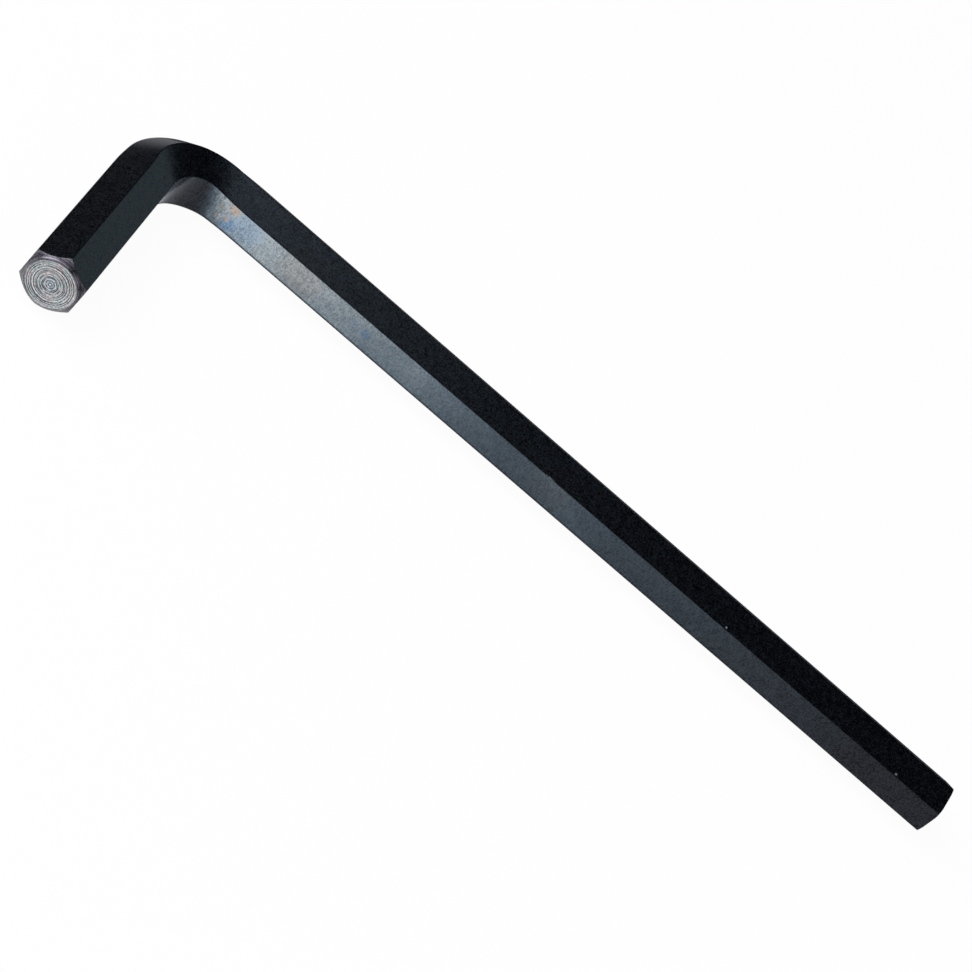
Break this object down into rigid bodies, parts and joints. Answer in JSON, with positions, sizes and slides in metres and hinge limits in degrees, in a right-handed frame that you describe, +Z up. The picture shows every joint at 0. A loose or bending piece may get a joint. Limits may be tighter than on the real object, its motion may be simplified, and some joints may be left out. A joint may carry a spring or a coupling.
{
  "type": "hex key",
  "caption": "L-shaped hexagonal drive key bent from one solid bar, with a long arm, a short arm and a turned chamfer on each tip.",
  "frame": {"origin": "middle of the footprint, on the surface that the key lies on", "axes": "+X along the long arm, towards its tip; -Y along the short arm, towards its tip; +Z up, square to the plane of the bend"},
  "size_m": [0.075, 0.023, 0.0046],
  "materials": {
    "blackened_steel": "satin black oxide",
    "bare_steel": "fine turned"
  },
  "bodies": {
    "root": {"hex_key": "blackened_steel"}
  },
  "joints": []
}
